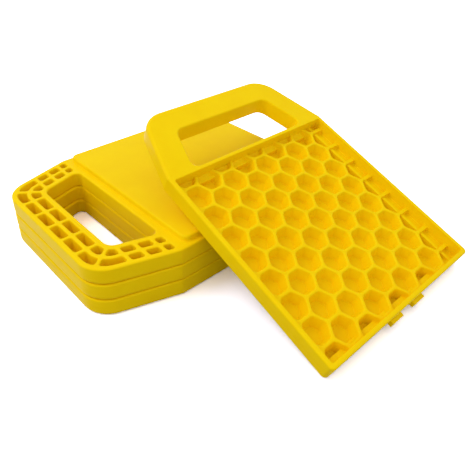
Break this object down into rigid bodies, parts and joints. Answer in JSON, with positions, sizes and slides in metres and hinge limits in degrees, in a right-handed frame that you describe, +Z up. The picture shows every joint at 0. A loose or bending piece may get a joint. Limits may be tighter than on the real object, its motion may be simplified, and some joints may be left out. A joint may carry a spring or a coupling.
{
  "type": "ramp leveler",
  "caption": "Set of nesting support pads with carry handles: a stack, and one more leaning on its edge with the honeycomb underside up.",
  "frame": {"origin": "on the ground, under the middle of the whole set", "axes": "+Z up; the stacked pads' handles point to -Y; the leaning pad slopes down towards +X"},
  "size_m": [0.2848, 0.24, 0.0978],
  "materials": {
    "pad_plastic": "satin"
  },
  "bodies": {
    "bottom_pad": {"bottom_pad": "pad_plastic"},
    "middle_pad": {"middle_pad": "pad_plastic"},
    "top_pad": {"top_pad": "pad_plastic"},
    "leaning_pad": {"leaning_pad": "pad_plastic"}
  },
  "joints": [
    {"name": "middle_pad_lift", "type": "slide", "parent": "bottom_pad", "child": "middle_pad", "axis": [0, 0, 1], "range_m": [0, 0.04]},
    {"name": "top_pad_lift", "type": "slide", "parent": "middle_pad", "child": "top_pad", "axis": [0, 0, 1], "range_m": [0, 0.04]},
    {"name": "leaning_pad_tip", "type": "hinge", "parent": "top_pad", "child": "leaning_pad", "pos_m": [0.01776, 0.03705, 0.0434], "axis": [0, -1, 0], "range_deg": [0, 22]}
  ]
}
